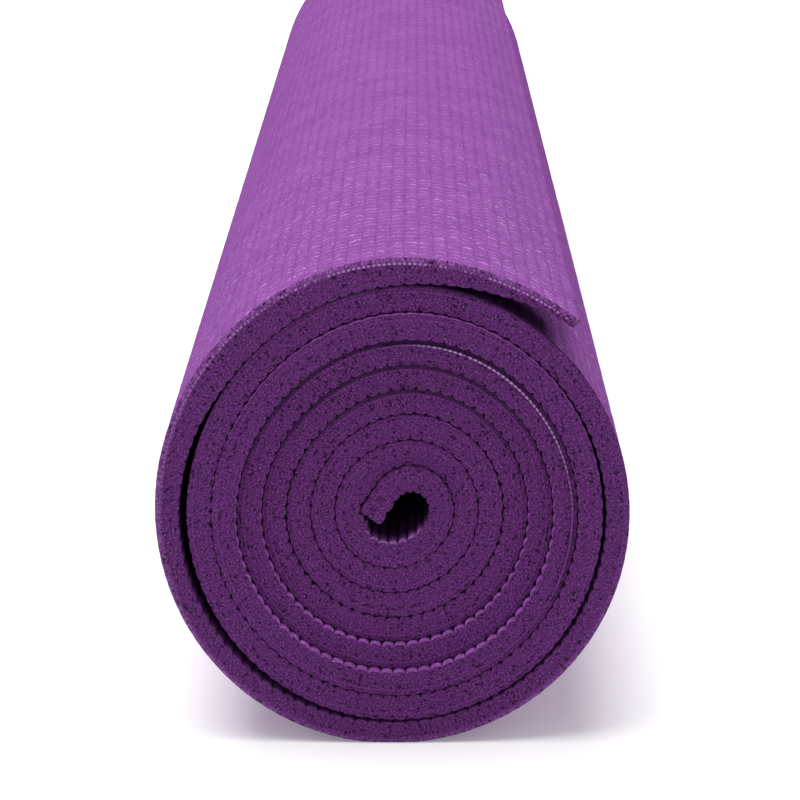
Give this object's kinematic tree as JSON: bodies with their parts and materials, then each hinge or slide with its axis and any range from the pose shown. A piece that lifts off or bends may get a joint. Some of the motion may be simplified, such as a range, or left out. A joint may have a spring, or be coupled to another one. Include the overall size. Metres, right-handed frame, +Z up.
{
  "type": "rolled yoga mat",
  "caption": "Foam exercise mat rolled up on its side, pillowed face outside and ribs inside; its free end peels off the roll and straightens.",
  "frame": {"origin": "centre of the bounding box, at the height of the flat strip the roll rests on", "axes": "+Y along the roll, away from the end face that the picture shows; +Z up; +X to the right in the picture, towards the free end"},
  "size_m": [0.1133, 0.6126, 0.123],
  "materials": {
    "face_foam": "satin",
    "scrim": "matte",
    "ribbed_foam": "matte"
  },
  "bodies": {
    "roll": {"face_foam_roll": "face_foam", "scrim_roll": "scrim", "ribbed_foam_roll": "ribbed_foam"},
    "flap_1": {"face_foam_flap_1": "face_foam", "scrim_flap_1": "scrim", "ribbed_foam_flap_1": "ribbed_foam"},
    "flap_2": {"face_foam_flap_2": "face_foam", "scrim_flap_2": "scrim", "ribbed_foam_flap_2": "ribbed_foam"},
    "flap_3": {"face_foam_flap_3": "face_foam", "scrim_flap_3": "scrim", "ribbed_foam_flap_3": "ribbed_foam"},
    "flap_4": {"face_foam_flap_4": "face_foam", "scrim_flap_4": "scrim", "ribbed_foam_flap_4": "ribbed_foam"},
    "flap_5": {"face_foam_flap_5": "face_foam", "scrim_flap_5": "scrim", "ribbed_foam_flap_5": "ribbed_foam"},
    "flap_6": {"face_foam_flap_6": "face_foam", "scrim_flap_6": "scrim", "ribbed_foam_flap_6": "ribbed_foam"}
  },
  "joints": [
    {"name": "bend_1", "type": "hinge", "parent": "roll", "child": "flap_1", "pos_m": [-0.04669, 0, 0.09469], "axis": [0, -1, 0], "range_deg": [0, 16]},
    {"name": "bend_2", "type": "hinge", "parent": "flap_1", "child": "flap_2", "pos_m": [-0.03515, 0, 0.10821], "axis": [0, -1, 0], "range_deg": [0, 16]},
    {"name": "bend_3", "type": "hinge", "parent": "flap_2", "child": "flap_3", "pos_m": [-0.02059, 0, 0.11777], "axis": [0, -1, 0], "range_deg": [0, 16]},
    {"name": "bend_4", "type": "hinge", "parent": "flap_3", "child": "flap_4", "pos_m": [-0.00411, 0, 0.12259], "axis": [0, -1, 0], "range_deg": [0, 16]},
    {"name": "bend_5", "type": "hinge", "parent": "flap_4", "child": "flap_5", "pos_m": [0.01296, 0, 0.12212], "axis": [0, -1, 0], "range_deg": [0, 16]},
    {"name": "bend_6", "type": "hinge", "parent": "flap_5", "child": "flap_6", "pos_m": [0.02926, 0, 0.11692], "axis": [0, -1, 0], "range_deg": [0, 16]}
  ],
  "couplings": [
    {"joint": "bend_2", "follows": "bend_1", "ratio": 1},
    {"joint": "bend_3", "follows": "bend_1", "ratio": 1},
    {"joint": "bend_4", "follows": "bend_1", "ratio": 1},
    {"joint": "bend_5", "follows": "bend_1", "ratio": 1},
    {"joint": "bend_6", "follows": "bend_1", "ratio": 1}
  ]
}
